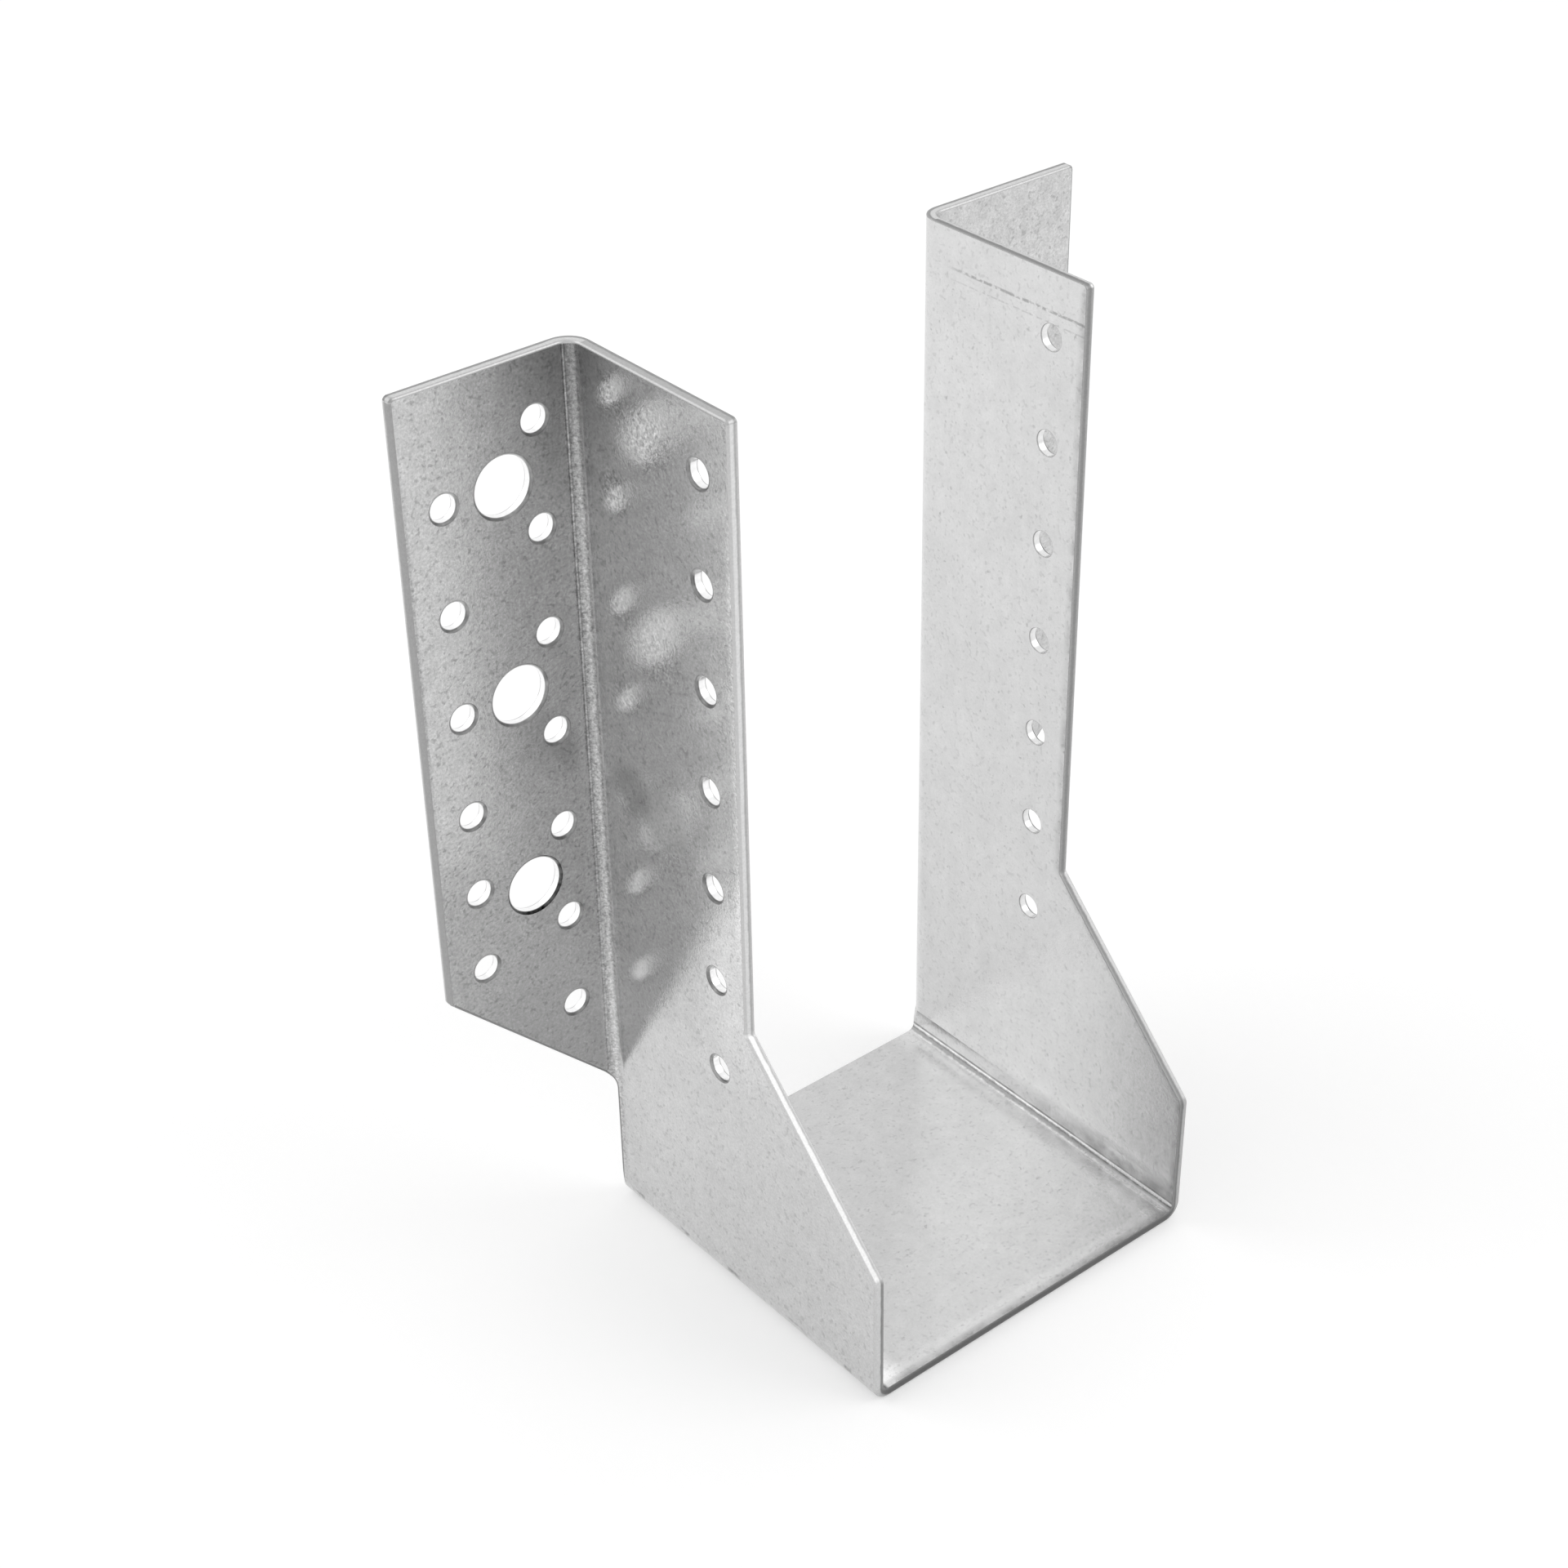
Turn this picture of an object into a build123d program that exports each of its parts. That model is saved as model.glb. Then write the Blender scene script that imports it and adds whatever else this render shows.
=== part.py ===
from build123d import *
from math import degrees, tan, radians, floor
import os

# A joist hanger folded from one blank of galvanised sheet: a seat, two cheeks that
# hold the sides of the joist, and two flanges that lie flat on the header beam.
# Millimetres, X across the joist, Z up. The flanges' back faces look towards +Y.
# The origin is the middle of the footprint, on the underside of the seat.

# Sheet and bends
sheet = 2.0
seat_bend_inside = 1.5
flange_bend_inside = 2.5
neutral_share = 0.45

# Stirrup
joist_width = 75.0
height = 184.0
seat_length = 78.0
cheek_depth = 43.0
nosing_height = 29.0
taper_angle = 45.0
seat_setback = 2.0
seat_edge_fade = 4.0

# Header flanges
flange_width = 35.0
flange_foot = 29.5
foot_angle = 45.0
foot_fillet = 4.0

# Corners of the blank
free_corner = 1.0
nosing_corner = 2.0
taper_corner = 1.0

# Nail and bolt holes
nail_hole = 5.0
bolt_hole = 11.0
nail_row_pitch = 20.0
nail_row_top = 12.0
cheek_hole_edge = 8.0
inner_nail_column = 8.0
outer_nail_column = 26.7
outer_row_top = 22.0
close_row_pitch = 16.5
close_rows = 2
bolt_column = 15.0
bolt_row_pitch = 40.0
nail_edge_room = 10.0
bolt_edge_room = 20.0

# Places that follow from the sizes
seat_bend_outside = seat_bend_inside + sheet
flange_bend_outside = flange_bend_inside + sheet
cheek_inside = joist_width / 2
cheek_outside = cheek_inside + sheet
flange_edge = cheek_outside + flange_width
header_y = seat_length / 2
nosing_y = header_y - seat_length
cheek_front_y = header_y - cheek_depth
seat_back_y = header_y - seat_setback
bend_x = cheek_outside + flange_bend_inside
bend_y = header_y - flange_bend_outside
cheek_foot = nosing_height + (seat_length - cheek_depth) * tan(radians(taper_angle))

# The blank's back edge runs straight on from the seat, so it ends part of the way
# round the flange bend. The bend turns the cheek's back edge by this angle.
back_edge_run = flange_bend_outside - seat_setback
back_edge_angle = degrees(back_edge_run / (flange_bend_inside + neutral_share * sheet))
back_edge_foot = seat_bend_outside + seat_edge_fade


def flange_bottom(column):
    """Height of the flange's slanted bottom edge, a column's distance out from the cheek."""
    return flange_foot + column * tan(radians(foot_angle))


def rows(top, pitch, lowest):
    """Heights of the rows of holes, from the top one down to the lowest that has room."""
    count = floor((height - top - lowest) / pitch) + 1
    return [height - top - pitch * row for row in range(count)]


nail_rows = rows(nail_row_top, nail_row_pitch, flange_bottom(inner_nail_column) + nail_edge_room)
bolt_rows = rows(outer_row_top, bolt_row_pitch, flange_bottom(bolt_column) + bolt_edge_room)
close_room = close_rows * close_row_pitch
outer_rows = rows(outer_row_top, nail_row_pitch, flange_bottom(outer_nail_column) + nail_edge_room + close_room)
outer_rows += [outer_rows[-1] - close_row_pitch * (row + 1) for row in range(close_rows)]


# The foot of the flange is cut away under a slanted line, back to the end of the cheek's
# back edge. This is the solid that is taken out of the right-hand bend and flange.
with BuildPart() as foot_cut:
    reach = flange_width + flange_bend_outside
    end_of_edge = Vector(bend_x, bend_y) + Vector(-reach, 0).rotate(Axis.Z, -back_edge_angle)
    with BuildSketch(Plane.XY) as beyond_back_edge:
        with BuildLine() as beyond_outline:
            Polyline(
                (bend_x, bend_y),
                end_of_edge,
                (end_of_edge.X, end_of_edge.Y + reach),
                (bend_x + reach, end_of_edge.Y + reach),
                (bend_x + reach, bend_y),
                close=True,
            )
        make_face()
    extrude(amount=height)
    slant = Plane(origin=(cheek_outside, 0, flange_foot), x_dir=(0, -1, 0), z_dir=(-tan(radians(foot_angle)), 0, 1))
    split(bisect_by=slant, keep=Keep.BOTTOM)
    slanted_face = faces().filter_by(slant).sort_by(Axis.Z)[-1]
    edge_at_sheet = slanted_face.edges().sort_by_distance((cheek_outside, header_y, flange_foot))[0]
    fillet(edge_at_sheet, foot_fillet)


# The right-hand flange with its bend, and the bent back edge of the cheek under it.
with BuildPart() as wing:
    with BuildSketch(Plane.XY.offset(back_edge_foot)) as wing_section:
        with BuildLine() as wing_outline:
            Line((cheek_inside, bend_y), (cheek_outside, bend_y))
            CenterArc((bend_x, bend_y), flange_bend_inside, 90, 90)
            Polyline(
                (bend_x, header_y - sheet),
                (flange_edge, header_y - sheet),
                (flange_edge, header_y),
                (bend_x, header_y),
            )
            CenterArc((bend_x, bend_y), flange_bend_outside, 90, 90)
        make_face()
    extrude(amount=height - back_edge_foot)
    add(foot_cut.part, mode=Mode.SUBTRACT)
    outer_corners = edges().filter_by(Axis.Y).group_by(Axis.X)[-1]
    fillet(outer_corners, free_corner)

    # Below the bend's foot the back edge flattens into the end of the seat bend.
    with BuildSketch(Plane.XY.offset(back_edge_foot)) as bent_edge:
        with BuildLine() as bent_outline:
            outer_arc = CenterArc((bend_x, bend_y), flange_bend_outside, 180, -back_edge_angle)
            inner_arc = CenterArc((bend_x, bend_y), flange_bend_inside, 180, -back_edge_angle)
            Line(outer_arc @ 0, inner_arc @ 0)
            Line(outer_arc @ 1, inner_arc @ 1)
        make_face()
    with BuildSketch(Plane.XY.offset(seat_bend_outside)) as flat_edge:
        with BuildLine() as flat_outline:
            Polyline(
                (cheek_inside, bend_y),
                (cheek_inside, seat_back_y),
                (cheek_outside, seat_back_y),
                (cheek_outside, bend_y),
                close=True,
            )
        make_face()
    loft(sections=[flat_edge.sketch, bent_edge.sketch])


with BuildPart() as joist_hanger:
    # Seat and cheeks, bent up in a U
    with BuildSketch(Plane.XZ.offset(-seat_back_y)) as stirrup_section:
        with BuildLine() as stirrup_outline:
            outside = FilletPolyline(
                (-cheek_outside, height),
                (-cheek_outside, 0),
                (cheek_outside, 0),
                (cheek_outside, height),
                radius=seat_bend_outside,
            )
            inside = FilletPolyline(
                (-cheek_inside, height),
                (-cheek_inside, sheet),
                (cheek_inside, sheet),
                (cheek_inside, height),
                radius=seat_bend_inside,
            )
            Line(outside @ 0, inside @ 0)
            Line(outside @ 1, inside @ 1)
        make_face()
    extrude(amount=seat_back_y - nosing_y)

    # Side view of the blank: the cheek tapers out to the nosing of the seat
    with BuildSketch(Plane.YZ) as side_view:
        with BuildLine() as side_outline:
            Polyline(
                (seat_back_y, 0),
                (nosing_y, 0),
                (nosing_y, nosing_height),
                (cheek_front_y, cheek_foot),
                (cheek_front_y, height),
                (bend_y, height),
                (bend_y, seat_bend_outside),
                (seat_back_y, seat_bend_outside),
                close=True,
            )
        make_face()
        fillet(side_view.vertices().sort_by_distance((nosing_y, nosing_height))[0], nosing_corner)
        fillet(side_view.vertices().sort_by_distance((cheek_front_y, cheek_foot))[0], taper_corner)
        fillet(side_view.vertices().sort_by_distance((cheek_front_y, height))[0], free_corner)
    extrude(amount=cheek_outside, both=True, mode=Mode.INTERSECT)

    # Header flanges
    add(wing.part)
    mirror(wing.part, about=Plane.YZ)

    # Nail holes through both cheeks
    with BuildSketch(Plane.YZ) as cheek_holes:
        with Locations(*[(cheek_front_y + cheek_hole_edge, z) for z in nail_rows]):
            Circle(nail_hole / 2)
    extrude(amount=cheek_outside, both=True, mode=Mode.SUBTRACT)

    # Nail and bolt holes through the flanges
    with BuildSketch(Plane.XZ.offset(-header_y)) as flange_holes:
        for side in (-1, 1):
            inner_x = side * (cheek_outside + inner_nail_column)
            outer_x = side * (cheek_outside + outer_nail_column)
            bolt_x = side * (cheek_outside + bolt_column)
            nail_places = [(inner_x, z) for z in nail_rows] + [(outer_x, z) for z in outer_rows]
            with Locations(*nail_places):
                Circle(nail_hole / 2)
            with Locations(*[(bolt_x, z) for z in bolt_rows]):
                Circle(bolt_hole / 2)
    extrude(amount=sheet, mode=Mode.SUBTRACT)

os.makedirs("parts", exist_ok=True)
joist_hanger.part.label = "joist_hanger"
export_step(joist_hanger.part, "parts/joist_hanger.step")
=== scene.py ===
import math

import bpy
import numpy as np
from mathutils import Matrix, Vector
from mathutils.geometry import delaunay_2d_cdt


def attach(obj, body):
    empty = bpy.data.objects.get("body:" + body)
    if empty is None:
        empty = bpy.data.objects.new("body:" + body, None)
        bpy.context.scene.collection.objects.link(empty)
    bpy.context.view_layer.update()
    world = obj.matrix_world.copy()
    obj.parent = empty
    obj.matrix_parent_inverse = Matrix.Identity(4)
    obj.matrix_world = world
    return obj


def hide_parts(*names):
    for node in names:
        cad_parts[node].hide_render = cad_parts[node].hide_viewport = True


# The joist hanger in galvanised sheet, on a white studio floor. The scene is in metres.
# The sheet is worked out in millimetres, as a flat blank that is then folded.

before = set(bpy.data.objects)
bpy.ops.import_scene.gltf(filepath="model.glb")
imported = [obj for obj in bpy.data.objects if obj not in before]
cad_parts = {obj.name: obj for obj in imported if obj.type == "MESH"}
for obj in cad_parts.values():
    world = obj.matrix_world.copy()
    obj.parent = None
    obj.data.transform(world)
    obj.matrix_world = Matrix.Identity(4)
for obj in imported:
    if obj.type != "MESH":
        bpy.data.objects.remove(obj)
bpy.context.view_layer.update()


millimetre = 0.001

# Sizes of the folded sheet in millimetres, as in the solid
sheet = 2.0
seat_bend_inside = 1.5
flange_bend_inside = 2.5
neutral_share = 0.45
joist_width = 75.0
height = 184.0
seat_length = 78.0
cheek_depth = 43.0
nosing_height = 29.0
taper_angle = 45.0
seat_setback = 2.0
seat_edge_fade = 4.0
flange_width = 35.0
flange_foot = 29.5
foot_fillet = 4.0
free_corner = 1.0
nosing_corner = 2.0
taper_corner = 1.0
nail_hole = 5.0
bolt_hole = 11.0
nail_row_pitch = 20.0
nail_row_top = 12.0
nail_row_count = 7
cheek_hole_edge = 8.0
inner_nail_column = 8.0
outer_nail_column = 26.7
outer_row_top = 22.0
outer_row_count = 4
close_row_pitch = 16.5
close_rows = 2
bolt_column = 15.0
bolt_row_pitch = 40.0
bolt_row_count = 3

# The press rolls the edges over on the outer face and leaves them sharper inside
rolled_edge = 0.5
sharp_edge = 0.12

# Steps in which the curves are drawn
seat_bend_steps = 8
edge_fade_steps = 8
flange_bend_steps = 14
rolled_edge_steps = 4
sharp_edge_steps = 2
nail_hole_steps = 48
bolt_hole_steps = 72
corner_steps_a_radian = 8
fewest_corner_steps = 3

# The order of the finishes in the mesh
on_the_sheet, on_the_cut_edge, on_the_hole_edge = 0, 1, 2

# Places that follow from the sizes. Across, the flat blank is measured from the middle of
# the seat, and along it from front to back, as the header's face is.
header_y = seat_length / 2
nosing_y = header_y - seat_length
cheek_front_y = header_y - cheek_depth
seat_back_y = header_y - seat_setback
taper_top = nosing_height + (seat_length - cheek_depth) * math.tan(math.radians(taper_angle))
flange_bend_start = header_y - flange_bend_inside - sheet
flange_neutral_depth = sheet * (1 - neutral_share)
flange_neutral_radius = flange_bend_inside + sheet * neutral_share
flange_bend_length = flange_neutral_radius * math.pi / 2
flange_start = flange_bend_start + flange_bend_length
seat_half = joist_width / 2 - seat_bend_inside
seat_neutral_radius = seat_bend_inside + sheet * neutral_share
cheek_start = seat_half + seat_neutral_radius * math.pi / 2
cheek_start_z = sheet + seat_bend_inside


def up_the_cheek(z):
    """How far from the middle of the seat a height on the cheek lies on the flat blank."""
    return cheek_start + z - cheek_start_z


def out_on_the_flange(column):
    """How far back on the flat blank a column of holes lies, from its distance to the cheek."""
    return flange_start + column - flange_bend_inside


# Lines on the blank that its faces follow round the bends
seat_stops = list(np.linspace(seat_half, cheek_start, seat_bend_steps + 1))
seat_stops += list(np.linspace(cheek_start, cheek_start + seat_edge_fade, edge_fade_steps + 1))[1:]
flange_stops = list(np.linspace(flange_bend_start, flange_start, flange_bend_steps + 1))

flange_edge = out_on_the_flange(flange_width)
bolt_line = out_on_the_flange(bolt_column)
lowest_bolt_z = height - outer_row_top - (bolt_row_count - 1) * bolt_row_pitch


def folded(across, along, depth):
    """Where points of the flat blank lie, in metres, once the seat and the flanges are bent up."""
    run = np.abs(across)
    lift = np.maximum(run - cheek_start, 0)
    curl = np.clip(lift / seat_edge_fade, 0, 1) / flange_neutral_radius
    past = along - flange_bend_start
    bent = np.clip(past, 0, flange_bend_length)
    turn = curl * bent
    outward = flange_neutral_depth + bent * np.sin(turn / 2) * np.sinc(turn / 2 / np.pi)
    y = flange_bend_start + np.minimum(past, 0) + bent * np.sinc(turn / np.pi)
    straight = np.maximum(past - flange_bend_length, 0)
    outward = outward + straight * np.sin(turn) + (depth - flange_neutral_depth) * np.cos(turn)
    y = y + straight * np.cos(turn) - (depth - flange_neutral_depth) * np.sin(turn)
    rise = np.clip((run - seat_half) / seat_neutral_radius, 0, math.pi / 2)
    radius = seat_bend_inside + outward
    x = np.minimum(run, seat_half) + radius * np.sin(rise)
    z = cheek_start_z - radius * np.cos(rise) + lift
    return np.stack([np.where(across < 0, -x, x), y, z], axis=-1) * millimetre


def rounded(corners):
    """A closed outline from its corners, each with the radius it is rounded to."""
    outline = []
    for i, (u, v, radius) in enumerate(corners):
        corner = np.array([u, v])
        before = np.array(corners[i - 1][:2]) - corner
        after = np.array(corners[(i + 1) % len(corners)][:2]) - corner
        before /= np.linalg.norm(before)
        after /= np.linalg.norm(after)
        half = math.acos(np.clip(before @ after, -1, 1)) / 2
        middle = (before + after) / np.linalg.norm(before + after)
        centre = corner + middle * radius / math.sin(half)
        start = corner + before * radius / math.tan(half) - centre
        end = corner + after * radius / math.tan(half) - centre
        steps = max(fewest_corner_steps, round((math.pi - 2 * half) * corner_steps_a_radian))
        for step in range(steps + 1):
            share = step / steps
            arm = start * (1 - share) + end * share
            outline.append(centre + arm / np.linalg.norm(arm) * radius)
    return outline


def with_stops(outline, axis, places):
    """The same outline with a point more wherever it crosses one of these lines."""
    least_step = 1e-9
    least_share = 1e-3
    result = []
    for i, point in enumerate(outline):
        ahead = outline[(i + 1) % len(outline)]
        step = ahead[axis] - point[axis]
        result.append(point)
        if abs(step) > least_step:
            shares = sorted((place - point[axis]) / step for place in places)
            shares = [share for share in shares if least_share < share < 1 - least_share]
            result += [point + (ahead - point) * share for share in shares]
    return result


def blank_outline():
    """The flat blank's outline: across the seat is first, and from nosing to flange edge second."""
    slant_end = flange_foot + flange_bend_inside - (flange_start - seat_back_y)
    half = [
        (up_the_cheek(nosing_height), nosing_y, nosing_corner),
        (up_the_cheek(taper_top), cheek_front_y, taper_corner),
        (up_the_cheek(height), cheek_front_y, free_corner),
        (up_the_cheek(height), flange_edge, free_corner),
        (up_the_cheek(flange_foot + flange_width), flange_edge, free_corner),
        (up_the_cheek(slant_end), seat_back_y, foot_fillet),
    ]
    corners = half + [(-u, v, radius) for u, v, radius in reversed(half)]
    outline = with_stops(rounded(corners), 0, [side * u for side in (-1, 1) for u in seat_stops])
    return np.array(with_stops(outline, 1, flange_stops))


def holes():
    """Middle and radius of every hole in the blank."""
    nail_rows = [height - nail_row_top - nail_row_pitch * row for row in range(nail_row_count)]
    outer_rows = [height - outer_row_top - nail_row_pitch * row for row in range(outer_row_count)]
    outer_rows += [outer_rows[-1] - close_row_pitch * (row + 1) for row in range(close_rows)]
    bolt_rows = [height - outer_row_top - bolt_row_pitch * row for row in range(bolt_row_count)]
    places = [(z, cheek_front_y + cheek_hole_edge, nail_hole) for z in nail_rows]
    places += [(z, out_on_the_flange(inner_nail_column), nail_hole) for z in nail_rows]
    places += [(z, out_on_the_flange(outer_nail_column), nail_hole) for z in outer_rows]
    places += [(z, bolt_line, bolt_hole) for z in bolt_rows]
    return [(side * up_the_cheek(z), v, size / 2) for z, v, size in places for side in (-1, 1)]


def sheet_loops():
    """The blank's outline and its holes, as closed loops with the sheet on their left."""
    outline = blank_outline()
    ahead = np.roll(outline, -1, axis=0)
    area = (outline[:, 0] * ahead[:, 1] - ahead[:, 0] * outline[:, 1]).sum()
    loops = [outline if area > 0 else outline[::-1]]
    for u, v, radius in holes():
        steps = bolt_hole_steps if radius > nail_hole / 2 else nail_hole_steps
        turns = np.arange(steps) * -2 * math.pi / steps
        loops.append(np.stack([u + radius * np.cos(turns), v + radius * np.sin(turns)], axis=1))
    return loops


def inward(loop):
    """At each point of a closed loop, the way into the sheet, long enough for a mitre."""
    ahead = np.roll(loop, -1, axis=0) - loop
    ahead /= np.linalg.norm(ahead, axis=1)[:, None]
    behind = np.roll(ahead, 1, axis=0)
    left = np.stack([-ahead[:, 1], ahead[:, 0]], axis=1)
    left_before = np.stack([-behind[:, 1], behind[:, 0]], axis=1)
    both = left + left_before
    return both / (1 + (left * left_before).sum(axis=1))[:, None]


def inside(points, loops):
    """Which points lie in the sheet: within its outline and in none of its holes."""
    count = np.zeros(len(points), int)
    for loop in loops:
        ahead = np.roll(loop, -1, axis=0)
        for (x0, y0), (x1, y1) in zip(loop, ahead):
            crosses = (y0 > points[:, 1]) != (y1 > points[:, 1])
            if crosses.any():
                at = x0 + (points[:, 1] - y0) / (y1 - y0) * (x1 - x0)
                count += crosses & (points[:, 0] < at)
    return count % 2 == 1


def bend_lines():
    """Lines along the bends of the blank, which end a little short of its outline."""
    room = 1.0
    lines = []
    for side in (-1, 1):
        for u in seat_stops:
            lines.append(((side * u, nosing_y + room), (side * u, seat_back_y - room)))
    for v in flange_stops:
        low = up_the_cheek(flange_foot + flange_bend_inside) + room
        if v < seat_back_y - room / 2:
            low = cheek_start + seat_edge_fade
        for side in (-1, 1):
            lines.append(((side * low, v), (side * (up_the_cheek(height) - room), v)))
    return lines


def edge_profile():
    """
    The cut edge from the outer face round to the inner one. Each point of it has its
    distance into the sheet, its depth from the inner face and the lean of its normal.
    """
    profile = []
    for step in range(rolled_edge_steps + 1):
        lean = math.pi / 2 * step / rolled_edge_steps
        depth = sheet - rolled_edge * (1 - math.cos(lean))
        profile.append((rolled_edge * (1 - math.sin(lean)), depth, lean))
    for step in range(sharp_edge_steps + 1):
        lean = math.pi / 2 * (1 + step / sharp_edge_steps)
        depth = sharp_edge * (1 + math.cos(lean))
        profile.append((sharp_edge * (1 - math.sin(lean)), depth, lean))
    return profile


class SheetPoints:
    """The sheet's points on the flat blank, each with its depth, its lean and the way out."""

    def __init__(self):
        self.flat, self.depth, self.lean, self.out = [], [], [], []

    def add(self, flat, depth, lean, out):
        """Adds points of one depth and one lean, and gives the number of the first."""
        start = sum(len(part) for part in self.flat)
        self.flat.append(flat)
        self.depth.append(np.full(len(flat), depth))
        self.lean.append(np.full(len(flat), lean))
        self.out.append(out)
        return start

    def joined(self):
        return [np.concatenate(part) for part in (self.flat, self.depth, self.lean, self.out)]


def sheet_face(points, loops, rings, profile, row):
    """Triangles of one face of the sheet, within this row of the rings round its edges."""
    distance, depth, lean = profile[row]
    rims = [loop + inward(loop) * distance for loop in loops]
    corners, edges = [], []
    for rim in rims:
        start = len(corners)
        corners += list(rim)
        edges += [(start + i, start + (i + 1) % len(rim)) for i in range(len(rim))]
    rim_corners = len(corners)
    for begin, end in bend_lines():
        edges.append((len(corners), len(corners) + 1))
        corners += [begin, end]
    corners = [Vector(corner) for corner in corners]
    same_within = 1e-5
    made, _, triangles, sources, _, _ = delaunay_2d_cdt(corners, edges, [], 0, same_within)
    made = np.array([tuple(point) for point in made])
    triangles = np.array(triangles)
    triangles = triangles[inside(made[triangles].mean(axis=1), rims)]

    # Points on the rims are those that the cut edge already has
    start = points.add(made, depth, lean, np.tile((1.0, 0.0), (len(made), 1)))
    number = np.arange(len(made)) + start
    rim_numbers = [np.arange(len(rim)) + starts[row] for rim, starts in zip(rims, rings)]
    rim_numbers = np.concatenate(rim_numbers)
    for i, corners_there in enumerate(sources):
        on_rim = [corner for corner in corners_there if corner < rim_corners]
        if on_rim:
            number[i] = rim_numbers[on_rim[0]]
    return [tuple(number[triangle]) for triangle in triangles]


def folded_normals(flat, depth, lean, out):
    """Normals of the folded sheet, leaning from its outer face out over the edge."""
    step = 1e-3
    through = folded(flat[:, 0], flat[:, 1], depth + step) - folded(flat[:, 0], flat[:, 1], depth - step)
    ahead = flat + out * step
    behind = flat - out * step
    outwards = folded(ahead[:, 0], ahead[:, 1], depth) - folded(behind[:, 0], behind[:, 1], depth)
    through /= np.linalg.norm(through, axis=1)[:, None]
    outwards /= np.linalg.norm(outwards, axis=1)[:, None]
    return through * np.cos(lean)[:, None] + outwards * np.sin(lean)[:, None]


def folded_sheet():
    """The hanger's sheet: two faces, and the cut edge round its outline and holes."""
    loops = sheet_loops()
    profile = edge_profile()
    points = SheetPoints()
    faces, finish, rings = [], [], []
    for loop in loops:
        into = inward(loop)
        starts = [points.add(loop + into * distance, depth, lean, -into) for distance, depth, lean in profile]
        rings.append(starts)
        for a, b in zip(starts, starts[1:]):
            for i in range(len(loop)):
                j = (i + 1) % len(loop)
                faces.append((a + i, a + j, b + j, b + i))
                finish.append(on_the_cut_edge if loop is loops[0] else on_the_hole_edge)
    for row in (0, len(profile) - 1):
        triangles = sheet_face(points, loops, rings, profile, row)
        faces += triangles
        finish += [on_the_sheet] * len(triangles)

    flat, depth, lean, out = points.joined()
    places = folded(flat[:, 0], flat[:, 1], depth)
    normals = folded_normals(flat, depth, lean, out)

    # Each face is turned to look outwards, and points that no face has are left out
    used = np.unique(np.concatenate([np.array(face) for face in faces]))
    renumbered = np.full(len(places), -1)
    renumbered[used] = np.arange(len(used))
    turned = []
    for face in faces:
        a, b, c = (places[i] for i in face[:3])
        outside = normals[list(face)].sum(axis=0)
        order = face if np.dot(np.cross(b - a, c - a), outside) > 0 else face[::-1]
        turned.append([int(renumbered[i]) for i in order])

    mesh = bpy.data.meshes.new("folded_sheet")
    mesh.from_pydata([tuple(place) for place in places[used]], [], turned)
    mesh.polygons.foreach_set("use_smooth", [True] * len(mesh.polygons))
    mesh.polygons.foreach_set("material_index", finish)
    mesh.normals_split_custom_set_from_vertices([tuple(normal) for normal in normals[used]])
    blank = mesh.attributes.new("blank", "FLOAT_VECTOR", "POINT")
    on_blank = np.stack([flat[used, 0], flat[used, 1], depth[used]], axis=1)
    blank.data.foreach_set("vector", on_blank.astype(np.float32).ravel())
    piece = bpy.data.objects.new("folded_sheet", mesh)
    bpy.context.scene.collection.objects.link(piece)
    return piece


class Value:
    """A shader socket in an expression. Each operator adds one Math node."""

    def __init__(self, shader, output):
        self.shader = shader
        self.output = output

    def math(self, operation, *values):
        node = self.shader.add("ShaderNodeMath", {"operation": operation}, dict(enumerate(values)))
        return Value(self.shader, node.outputs[0])

    def __add__(self, other):
        return self.math("ADD", self, other)

    __radd__ = __add__

    def __sub__(self, other):
        return self.math("SUBTRACT", self, other)

    def __rsub__(self, other):
        return self.math("SUBTRACT", other, self)

    def __mul__(self, other):
        return self.math("MULTIPLY", self, other)

    __rmul__ = __mul__

    def __abs__(self):
        return self.math("ABSOLUTE", self)

    def __pow__(self, other):
        return self.math("POWER", self, other)

    def over(self, start, end):
        """0 below start and 1 above end, with a straight ramp between."""
        ramp = self.shader.add(
            "ShaderNodeMapRange",
            {"clamp": True},
            {"Value": self, "From Min": start, "From Max": end, "To Min": 0.0, "To Max": 1.0},
        )
        return Value(self.shader, ramp.outputs["Result"])

    def or_more(self, other):
        return self.math("MAXIMUM", self, other)


class Shader:
    """The node tree of one material or of the world."""

    def __init__(self, owner):
        owner.use_nodes = True
        self.tree = owner.node_tree
        self.tree.nodes.clear()

    def add(self, kind, settings=None, sockets=None):
        """Adds a node: first its settings, then the value or link of each socket."""
        node = self.tree.nodes.new(kind)
        for name, setting in (settings or {}).items():
            setattr(node, name, setting)
        for key, value in (sockets or {}).items():
            socket = node.inputs[key]
            if isinstance(value, Value):
                self.tree.links.new(value.output, socket)
            elif isinstance(value, bpy.types.NodeSocket):
                self.tree.links.new(value, socket)
            else:
                socket.default_value = value
        return node

    def value(self, kind, output, settings=None, sockets=None):
        return Value(self, self.add(kind, settings, sockets).outputs[output])


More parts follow.
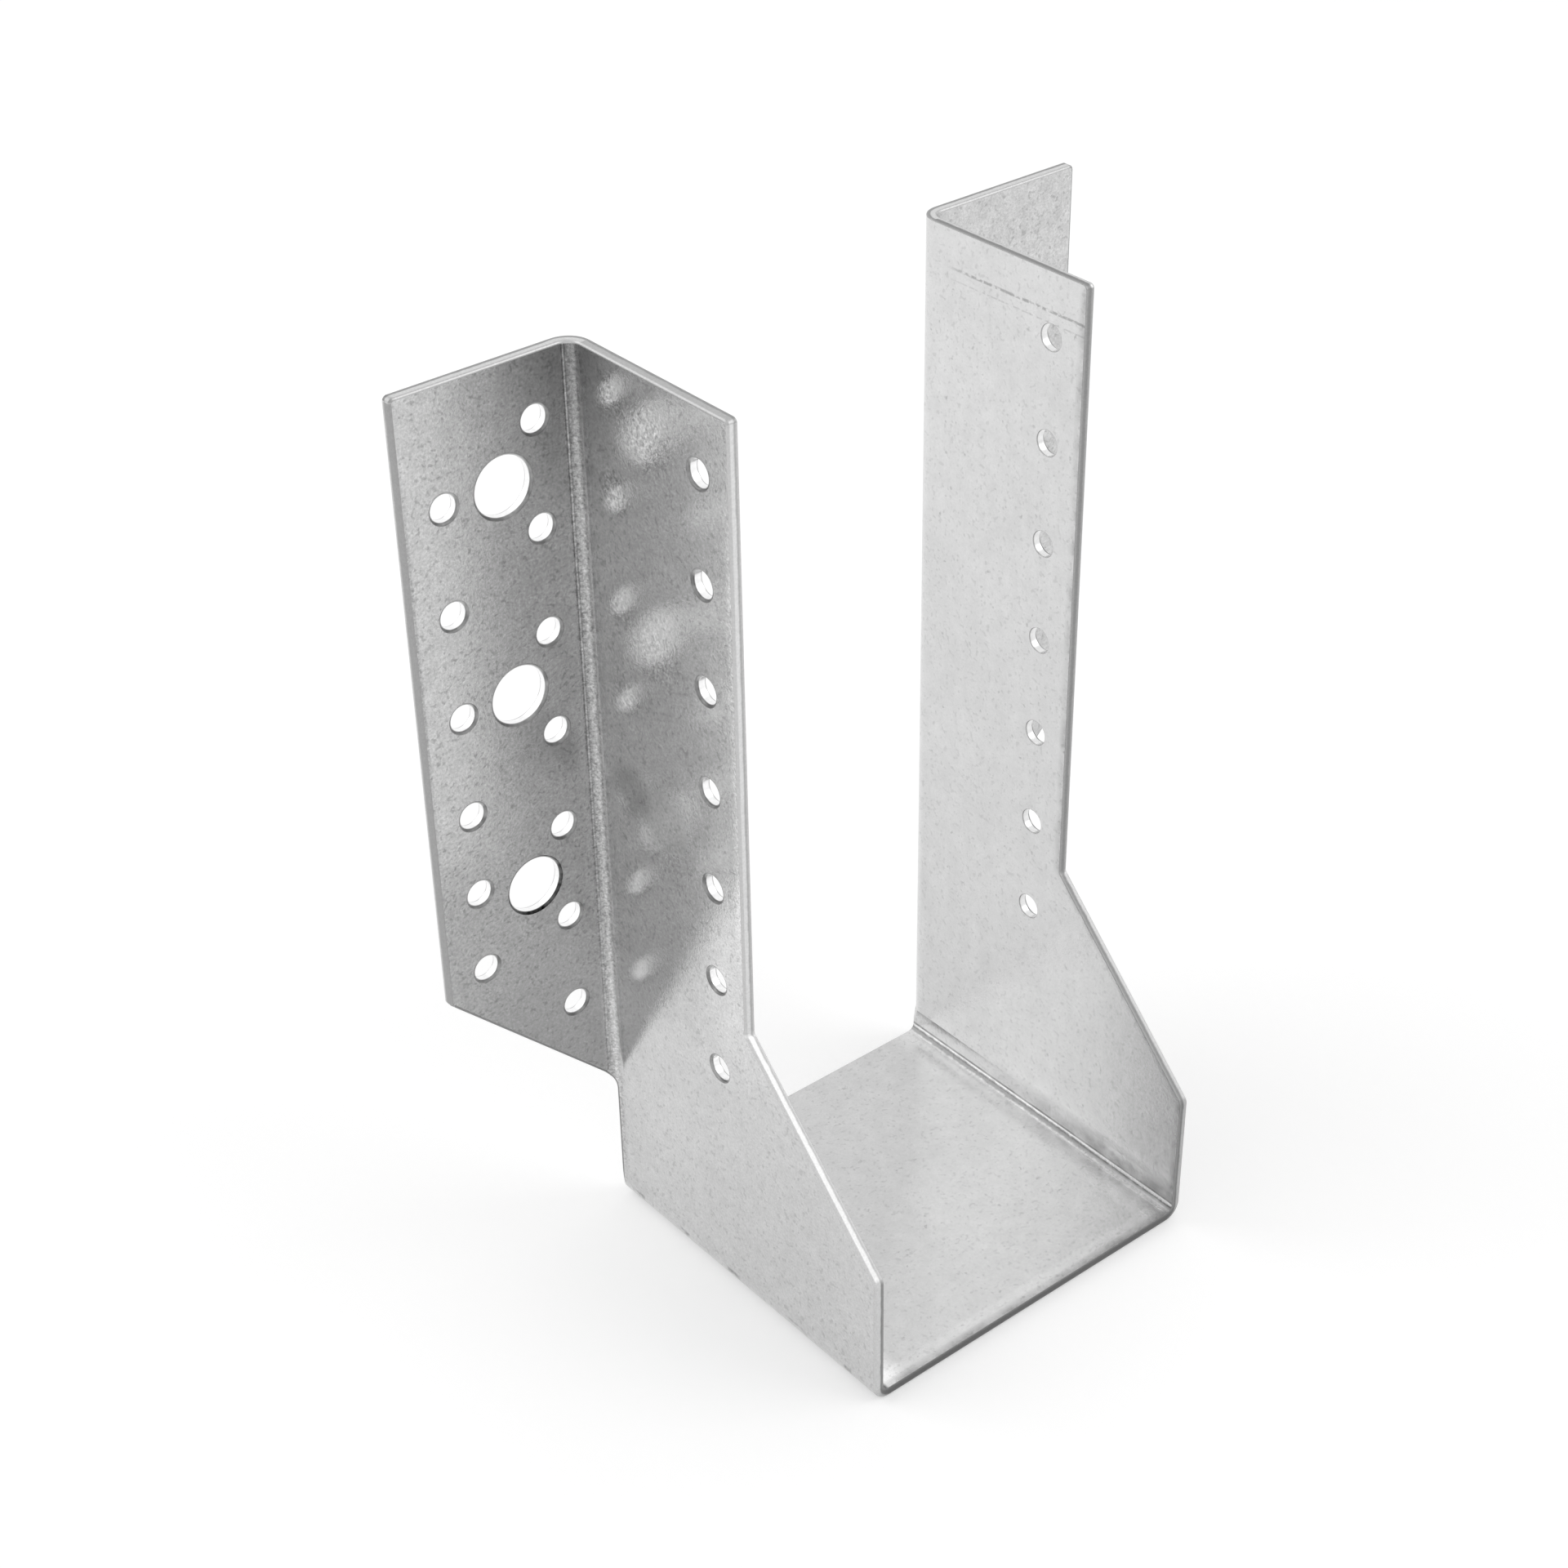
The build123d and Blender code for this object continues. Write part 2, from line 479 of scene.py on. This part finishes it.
class Metal(Shader):
    """
    A bare metal. Its shaded point lies on the flat blank at run, along and depth, and once
    folded at height z. left, right and seat are 1 on that part of the hanger and 0 off it.
    """

    def __init__(self, name):
        self.material = bpy.data.materials.new(name)
        super().__init__(self.material)
        self.place = self.add("ShaderNodeTexCoord").outputs["Object"]
        blank = self.add("ShaderNodeAttribute", {"attribute_name": "blank"})
        parts = self.add("ShaderNodeSeparateXYZ", {}, {"Vector": blank.outputs["Vector"]})
        across = Value(self, parts.outputs["X"])
        self.along = Value(self, parts.outputs["Y"])
        self.depth = Value(self, parts.outputs["Z"])
        self.run = abs(across)
        self.z = self.run - (cheek_start - cheek_start_z)
        self.left = 1 - across.over(-0.5, 0.5)
        self.right = 1 - self.left
        self.seat = 1 - self.run.over(seat_half, cheek_start)

    def noise(self, per_metre, detail, roughness, place=None):
        """Noise from 0 to 1, as fine as this many waves in a metre."""
        return self.value(
            "ShaderNodeTexNoise",
            "Fac",
            {"noise_dimensions": "3D"},
            {"Vector": place or self.place, "Scale": per_metre, "Detail": detail, "Roughness": roughness},
        )

    def distance_to(self, along, z):
        """How far the point lies from a place on its cheek or flange."""
        return ((self.along - along) ** 2 + (self.z - z) ** 2) ** 0.5

    def patch_at(self, along, z, reach):
        """1 round a place on the cheek or flange, fading out at this reach."""
        return 1 - self.distance_to(along, z).over(reach * 0.4, reach)

    def finished(self, shade, roughness, normal=None):
        """The material, in this shade of grey."""
        grey = {"Red": shade, "Green": shade, "Blue": shade}
        colour = self.add("ShaderNodeCombineColor", {"mode": "RGB"}, grey)
        sockets = {"Base Color": colour.outputs[0], "Metallic": 1.0, "Roughness": roughness}
        if normal:
            sockets["Normal"] = normal
        surface = self.add("ShaderNodeBsdfPrincipled", {}, sockets)
        self.add("ShaderNodeOutputMaterial", {}, {"Surface": surface.outputs[0]})
        return self.material


def line_at(value, middle, width):
    """1 on a line this wide where the value is middle, and 0 beside it."""
    return 1 - abs(value - middle).over(width * 0.3, width * 0.7)


def hump_at(value, middle, reach):
    """1 where the value is middle, fading out evenly over this reach on both sides."""
    return 1 - abs(value - middle).over(0, reach)


class Zinc(Metal):
    """The sheet's dull zinc, with the parts of the sheet that its marks lie on."""

    def __init__(self):
        super().__init__("galvanised_sheet")
        self.outer = self.depth.over(sheet / 2 - 0.1, sheet / 2 + 0.1)
        self.inner = 1 - self.outer
        self.flange = self.along.over(flange_start - 0.5, flange_start + 0.5)
        self.seat_face = self.inner * self.seat
        self.cheek_outside = self.outer * (1 - self.flange)
        self.left_outside = self.outer * self.left
        self.left_cheek_outside = self.cheek_outside * self.left
        self.left_flange_front = self.left_outside * self.flange
        self.high_up = self.z.over(60, 130)
        self.cloud = self.noise(45.0, 3.0, 0.55) - 0.5
        self.mottle = self.noise(300.0, 4.0, 0.65) - 0.5
        self.grain = self.noise(1700.0, 3.0, 0.8) - 0.5
        self.smudge = self.noise(220.0, 2.0, 0.6).over(0.35, 0.65)


def zinc_tone_and_painted_light(zinc):
    """The zinc's tone, with painted light: inner faces lighter, the seat darker, the outer cheek lighter
    above the taper, with painted shade towards its corner by the flange.
    """
    above_taper = zinc.z.over(taper_top - 14, taper_top)
    painted_corner_shade = zinc.cheek_outside * zinc.along.over(0, 22) * above_taper
    bright_front = hump_at(zinc.along, cheek_front_y + 5, 9)
    # The inner faces are painted lighter than the outer ones, painted light; the seat is a little darker and
    # the outer cheek a little lighter.
    shade = 0.57 + zinc.inner * 0.10 + zinc.cheek_outside * 0.05 - zinc.seat_face * 0.07
    # Painted shade: the outer cheek darkens towards its corner with the flange, above the taper.
    shade = shade * (1 - painted_corner_shade * 0.22)
    # Painted light: the outer cheek is lighter above the taper, most a little behind its front edge.
    return shade * (1 + zinc.cheek_outside * above_taper * (0.05 + bright_front * 0.07))


def clouds_and_pits(zinc):
    """Soft clouds and streaks, a grain that is coarser outside, pits and dark specks."""
    drawn_out = {0: zinc.place, 1: (1.0, 1.0, 0.15)}
    upright = zinc.add("ShaderNodeVectorMath", {"operation": "MULTIPLY"}, drawn_out).outputs[0]
    streaks = zinc.noise(350.0, 2.0, 0.5, upright) - 0.5
    pits = zinc.noise(1100.0, 1.0, 0.5).over(0.60, 0.70)
    specks = zinc.noise(750.0, 2.0, 0.6).over(0.67, 0.74)
    coarse = zinc.outer * (0.35 + 0.40 * zinc.z.over(45, 75) + zinc.flange * zinc.left * 0.25)
    right_front = zinc.outer * zinc.flange * zinc.right
    mottled = zinc.mottle * (0.20 + coarse * 0.16 + right_front * 0.3)
    factor = 1 + zinc.cloud * 0.14 + mottled + streaks * zinc.inner * 0.08
    factor = factor * (1 + zinc.grain * (0.25 + coarse * 0.90))
    return factor * (1 - pits * (0.12 + coarse * 0.14)) * (1 - specks * zinc.inner * 0.22)


def scratches(zinc):
    """Two scratches across the top of the right cheek."""
    worn = zinc.noise(900.0, 2.0, 0.6).over(0.40, 0.52)
    upper = line_at(zinc.z, height - 7.3, 0.5) * 0.40
    lower = line_at(zinc.z, height - 9.4, 0.3) * 0.18
    return 1 - (upper + lower) * worn * zinc.right * zinc.inner * (1 - zinc.along.over(24, 32))


def speckle_and_painted_spot_shade(zinc):
    """Speckled, darker patches on the left cheek by each row of the flange's holes, fainter further down,
    where those holes are reflected: a frosted grain and painted shade over the reflections.
    """
    speckle = zinc.noise(1500.0, 2.0, 0.7) - 0.5
    shaded_spots = 0
    for row in range(bolt_row_count):
        top = height - bolt_row_pitch * row
        for along, below, reach in ((27.0, 6.5, 5.0), (17.5, 11.0, 9.0), (27.0, 24.0, 5.5)):
            shaded_spots = zinc.patch_at(along, top - below, reach) * (1 - row * 0.3) + shaded_spots
    # Painted shade: each patch dims the reflection of a hole, with speckle over it.
    return 1 + shaded_spots * zinc.left_cheek_outside * (speckle * 2.0 - 0.10)


def left_corner_painted_shade(zinc):
    """Painted shade in the left corner by the flange's bend, darkest at the top, and darker along the left
    flange's middle.
    """
    beside_bend = 1 - abs(zinc.along - flange_start).over(2, 14)
    # Painted shade: the outer corner by the bend darkens towards the top.
    corner_darkening = beside_bend * (0.08 + 0.37 * zinc.z.over(height - 32, height - 4))
    flange_middle = hump_at(zinc.along, bolt_line, 15) * zinc.left_flange_front
    return (1 - corner_darkening * zinc.left_outside) * (1 - flange_middle * 0.06)


def matt_bend(zinc):
    """Where the left flange's bend is matt and painted darker: 1 between its ends, above its foot."""
    bend = zinc.along.over(flange_bend_start + 0.7, flange_bend_start + 1.3)
    bend = bend * (1 - zinc.along.over(flange_start - 0.7, flange_start - 0.3))
    foot = cheek_start_z + seat_edge_fade
    return bend * zinc.left_outside * zinc.z.over(foot, foot + 3)


def fold_lines_and_painted_bend_light(zinc, bend):
    """The bend painted darker, more so higher up, with a painted lighter hump in it, dark fold lines by the
    flange with a painted highlight line between them, and a painted highlight by the cheek.
    """
    lighter = hump_at(zinc.along, flange_bend_start + 2.1, 1.5)
    # Painted shade over the bend, with a painted highlight hump.
    factor = 1 - bend * (0.26 + 0.08 * zinc.high_up - 0.34 * lighter - zinc.grain * 1.5)
    dark = line_at(zinc.along, flange_start - 0.8, 0.3) * 0.35
    dark = dark + line_at(zinc.along, flange_start - 1.5, 0.3) * 0.25
    # A painted highlight line between the fold lines, brighter towards the top.
    bright = 0.30 + 0.40 * zinc.z.over(height - 25, height - 8)
    bright = line_at(zinc.along, flange_start - 1.15, 0.35) * bright
    fold = zinc.left_outside * (0.35 + zinc.high_up * 0.65) * zinc.z.over(flange_foot, flange_foot + 6)
    # A painted highlight along the bend's border with the cheek.
    border = hump_at(zinc.along, flange_bend_start, 1.3) * zinc.left_outside * zinc.z.over(45, 65)
    return factor * (1 - dark * fold) * (1 + bright * fold) * (1 + border * 0.52)


def painted_seat_bend_light(zinc):
    """Painted shade and highlights in each seat bend: a dark band and a dark line, a painted highlight line,
    a lighter strip on the seat beside it, a fine dark groove line where the cheek starts, and painted shade
    above it, stronger towards the front.
    """
    ragged = zinc.run + (zinc.noise(700.0, 2.0, 0.6) - 0.5) * 1.2
    near_front = 1 - zinc.along.over(-32, -10)
    towards_front = 1 - zinc.along.over(-24, 22)
    band = hump_at(ragged + near_front * 0.65, seat_half + 2.05, 1.3).over(0, 0.6)
    dark_line = line_at(zinc.run, seat_half + 2.45, 0.5) * near_front
    groove = line_at(zinc.run, cheek_start + 0.2, 0.45)
    above_groove = zinc.run.over(cheek_start + 0.1, cheek_start + 0.7)
    above_groove = above_groove * (1 - zinc.run.over(cheek_start + 2.2, cheek_start + 5.8))
    # Painted shade in the bend and on the cheek above its groove.
    dark = band * (0.60 - near_front * 0.16) + dark_line * 0.30
    dark = dark + groove * (0.36 + zinc.smudge * 0.28 - near_front * 0.10)
    dark = dark + above_groove * (0.06 + towards_front * (0.37 + zinc.smudge * 0.22))
    # Painted highlights in the bend and on the seat beside it.
    bright_line = line_at(zinc.run, seat_half + 3.15, 0.75)
    beside_bend = zinc.run.over(seat_half - 5.5, seat_half - 1.5)
    beside_bend = beside_bend * (1 - zinc.run.over(seat_half, seat_half + 1.2))
    bright = bright_line * (0.42 + near_front * 0.75) + beside_bend * (0.13 + near_front * 0.32)
    return (1 - dark * zinc.inner) * (1 + bright * zinc.inner)


def scuffs(zinc):
    """Faint dark scuffs along the outside of the left seat bend."""
    worn = zinc.noise(190.0, 2.0, 0.6).over(0.55, 0.62) * (0.5 + zinc.grain * 2)
    return 1 - line_at(zinc.run, cheek_start - 0.4, 1.1) * zinc.left_outside * worn * 0.8


def edge_grey_and_painted_highlight(zinc):
    """Beside the cut edges: greyed inside, and outside painted lighter on the left cheek's front, a painted
    highlight off its rounded edge.
    """
    front_edge = nosing_y + (cheek_front_y - nosing_y) * zinc.z.over(nosing_height, taper_top)
    from_edge = zinc.along - front_edge
    grey = (1 - from_edge.over(0.4, 1.8)) * zinc.inner
    factor = 1 - grey * (0.06 + zinc.seat_face * 0.10 + zinc.smudge * 0.26 + zinc.grain * 0.6)
    factor = factor * (1 + line_at(from_edge, 2.8, 2.0) * zinc.seat_face * 0.08)
    # Painted highlight: a strip beside the left cheek's front edge, lighter than the face.
    upper_front = zinc.left_outside * zinc.z.over(75, 95) * (1 - zinc.z.over(height - 22, height - 14))
    bright = (1 - from_edge.over(0.9, 2.3)) * upper_front
    factor = factor * (1 + bright * (0.22 + zinc.grain * 0.6))
    flange_end = zinc.along.over(flange_edge - 1.2, flange_edge - 0.8) * zinc.left_outside
    flange_end = flange_end * zinc.z.over(90, 130) * (1 - zinc.z.over(height - 26, height - 12))
    return factor * (1 - flange_end * (0.24 - zinc.grain * 0.8))


def galvanised_sheet():
    """Dull zinc: clouded and finely pitted, with painted shade and highlights in its bends and over
    reflections on the left cheek.
    """
    zinc = Zinc()
    bend = matt_bend(zinc)

    # Beside the lowest bolt hole the left cheek is made matt and painted darker where the flange's holes are
    # reflected: painted shade that dims those reflections.
    matt_shaded_back = zinc.patch_at(26.6, 101.0, 6.5) * zinc.left_cheek_outside
    matt_shaded_front = zinc.patch_at(16.8, 99.0, 10.5) * zinc.left_cheek_outside

    shade = zinc_tone_and_painted_light(zinc) * clouds_and_pits(zinc) * scratches(zinc) * speckle_and_painted_spot_shade(zinc)
    shade = shade * (1 - matt_shaded_back * 0.30) * (1 - matt_shaded_front * 0.13)
    shade = shade * left_corner_painted_shade(zinc) * fold_lines_and_painted_bend_light(zinc, bend) * painted_seat_bend_light(zinc)
    shade = shade * scuffs(zinc) * edge_grey_and_painted_highlight(zinc)

    roughness = 0.22 - zinc.cheek_outside * 0.08 + zinc.cloud * 0.06 + zinc.grain * 0.10
    roughness = roughness + bend * 0.20 + (matt_shaded_back + matt_shaded_front) * 0.22
    roughness = roughness + hump_at(zinc.run, seat_half + 1.8, 2.0) * zinc.inner * 0.08
    dents = zinc.grain + zinc.mottle * 0.3
    bump = zinc.add("ShaderNodeBump", {}, {"Height": dents, "Strength": 1.0, "Distance": 0.000025})
    return zinc.finished(shade, roughness, bump.outputs[0])


def cut_edge():
    """The sheared edge: rolled over by the outer face, then burnished, and torn by the inner face."""
    steel = Metal("cut_edge")
    left, right, seat, along, z = steel.left, steel.right, steel.seat, steel.along, steel.z
    top = z.over(height - 0.8, height - 0.6)
    flange = along.over(flange_bend_start - 0.1, flange_bend_start + 0.1)
    flange_end = along.over(flange_edge - 0.8, flange_edge - 0.6) * (1 - top)
    foot = along.over(seat_back_y - 0.8, seat_back_y - 0.6) * (1 - top) * (1 - flange_end)
    front = (1 - top) * (1 - flange_end) * (1 - foot)
    upper = z.over(taper_top - 0.5, taper_top + 0.5)
    taper = z.over(nosing_height - 0.5, nosing_height + 0.5) * (1 - upper)
    nose = (1 - upper) * (1 - taper) * (1 - seat)

    # Each stretch of edge: its rolled, burnished and torn shade, and how deep the tear goes
    stretches = [
        (front * seat, 0.40, 0.34, 0.15, 1.5),
        (front * nose * left, 0.57, 0.60, 0.24, 0.75),
        (front * nose * right, 0.42, 0.45, 0.21, 0.85),
        (front * taper * left, 0.60, 0.62, 0.40, 0.65),
        (front * taper * right, 0.62, 0.44, 0.24, 1.0),
        (front * upper * left, 0.55, 0.70, 0.44, 0.85),
        (front * upper * right, 0.50, 0.38, 0.28, 1.2),
        (top * right * (1 - flange), 0.50, 0.62, 0.27, 1.15),
        (top * left * (1 - flange), 0.46, 0.47, 0.28, 0.6),
        (top * flange, 0.52, 0.66, 0.30, 0.7),
        (flange_end, 0.36, 0.34, 0.50, 0.6),
        (foot * (1 - seat), 0.26, 0.34, 0.30, 0.9),
        (foot * seat, 0.60, 0.60, 0.50, 0.9),
    ]
    rolled = sum(part * shade for part, shade, _, _, _ in stretches)
    burnished = sum(part * shade for part, _, shade, _, _ in stretches)
    torn = sum(part * shade for part, _, _, shade, _ in stretches)
    tear = sum(part * reach for part, _, _, _, reach in stretches)
    wander = steel.noise(400.0, 2.0, 0.6) - 0.5
    grain = steel.noise(2600.0, 2.0, 0.7) - 0.5
    in_tear = 1 - (steel.depth - tear - wander * 0.4).over(-0.15, 0.15)
    in_roll = steel.depth.over(sheet - rolled_edge, sheet - rolled_edge * 0.6)
    flange_corner = along.over(flange_edge - 1.2, flange_edge - 0.6)
    cheek_corner = front * (1 - along.over(cheek_front_y + 0.6, cheek_front_y + 1.2))
    shade = burnished + (torn - burnished) * in_tear + (rolled - burnished) * in_roll
    shade = shade * (1.4 - steel.depth.over(0.1, 0.6) * 0.4) * (1 + grain * 0.4)
    # Painted shade: the top corners are darker, dulling their glint.
    shade = shade * (1 - top * (flange_corner + cheek_corner) * 0.35)
    return steel.finished(shade, 0.40 + in_tear * 0.1)


def hole_edge():
    """The punched wall of a hole, pale and painted lighter on the left, with a grey rolled-over rim on the
    outer face.
    """
    steel = Metal("hole_edge")
    grain = steel.noise(1500.0, 2.0, 0.7) - 0.5
    smudge = steel.noise(350.0, 2.0, 0.6).over(0.35, 0.65)
    rim = steel.depth.over(sheet - rolled_edge * 1.15, sheet - rolled_edge * 0.85)
    inner_rim = 1 - steel.depth.over(0.15, 0.3)

    # The rim is painted greyer where it faces up and to the front left, a painted shade by the way it faces,
    # and greyer round the lowest bolt hole.
    normal = steel.add("ShaderNodeNewGeometry").outputs["Normal"]
    up_front_left = {0: normal, 1: (-0.5, -0.5, 0.7)}
    facing = steel.value("ShaderNodeVectorMath", "Value", {"operation": "DOT_PRODUCT"}, up_front_left)
    from_bolt = steel.distance_to(bolt_line, lowest_bolt_z)
    dark_rim = (1 - from_bolt.over(bolt_hole / 2 + 0.7, bolt_hole / 2 + 1.1)) * steel.left
    rim_shade = 0.72 - facing.over(0.15, 0.5) * (0.34 + smudge * 0.20) - dark_rim * 0.20
    # Painted light: the walls of the left side's holes are lighter than those on the right.
    shade = 0.80 + steel.left * 0.15
    shade = shade + (rim_shade - shade) * rim
    shade = shade * (1 - inner_rim * 0.45) * (1 + grain * 0.3)
    return steel.finished(shade, 0.30 + rim * 0.15)


def seen_directly(shader):
    """1 for rays from the camera, also once they are reflected or let through."""
    paths = shader.add("ShaderNodeLightPath").outputs
    camera = Value(shader, paths["Is Camera Ray"])
    glossy = Value(shader, paths["Is Glossy Ray"])
    transmission = Value(shader, paths["Is Transmission Ray"])
    return camera.or_more(glossy).or_more(transmission)


def studio_floor():
    """Pale paper under the hanger, lifted to white where it is seen. It keeps the shadow."""
    bpy.ops.mesh.primitive_plane_add(size=6.0, location=(0, 0, -0.0002))
    floor = bpy.context.object
    floor.name = "studio_floor"
    material = bpy.data.materials.new("white_floor")
    paper = Shader(material)
    matt = paper.add("ShaderNodeBsdfDiffuse", {}, {"Color": (0.82, 0.82, 0.82, 1.0)})
    white = {"Color": (1.0, 1.0, 1.0, 1.0), "Strength": seen_directly(paper) * 0.29}
    lift = paper.add("ShaderNodeEmission", {}, white)
    both = paper.add("ShaderNodeAddShader", {}, {0: matt.outputs[0], 1: lift.outputs[0]})
    paper.add("ShaderNodeOutputMaterial", {}, {"Surface": both.outputs[0]})
    floor.data.materials.append(material)


def studio_world():
    """A white studio all round, a little dimmer as a light than as it is seen."""
    world = bpy.data.worlds.new("white_studio")
    bpy.context.scene.world = world
    air = Shader(world)
    strength = 0.75 + seen_directly(air) * 0.25
    white = air.add("ShaderNodeBackground", {}, {"Color": (1.0, 1.0, 1.0, 1.0), "Strength": strength})
    air.add("ShaderNodeOutputWorld", {}, {"Surface": white.outputs[0]})


def softbox(name, place, size, power):
    """A square softbox that looks at the middle of the hanger's lower half."""
    aim = Vector((0, 0, 0.08))
    lamp = bpy.data.lights.new(name, "AREA")
    lamp.shape = "RECTANGLE"
    lamp.size = size
    lamp.size_y = size
    lamp.energy = power
    holder = bpy.data.objects.new(name, lamp)
    bpy.context.scene.collection.objects.link(holder)
    holder.location = place
    holder.rotation_euler = (aim - Vector(place)).to_track_quat("-Z", "Y").to_euler()


def photograph_camera():
    """The camera that was fitted to the photograph's edges and holes."""
    camera = bpy.data.cameras.new("camera")
    camera.lens = 64.9
    camera.sensor_width = 36.0
    camera.shift_y = 0.04
    camera.clip_start = 0.01
    camera.clip_end = 20.0
    holder = bpy.data.objects.new("camera", camera)
    bpy.context.scene.collection.objects.link(holder)
    holder.location = (-0.28076, -0.3146, 0.3757)
    holder.rotation_euler = (math.radians(55.434), math.radians(0.926), math.radians(-39.554))
    bpy.context.scene.camera = holder


hanger = folded_sheet()
for finish in (galvanised_sheet(), cut_edge(), hole_edge()):
    hanger.data.materials.append(finish)
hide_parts("joist_hanger")
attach(hanger, "root")

studio_floor()
studio_world()
softbox("front_softbox", (0.65, -0.75, 0.9), 0.8, 2.5)
softbox("back_softbox", (-0.77, 0.95, 0.96), 1.4, 4.6)
photograph_camera()
bpy.context.scene.view_settings.view_transform = "Standard"
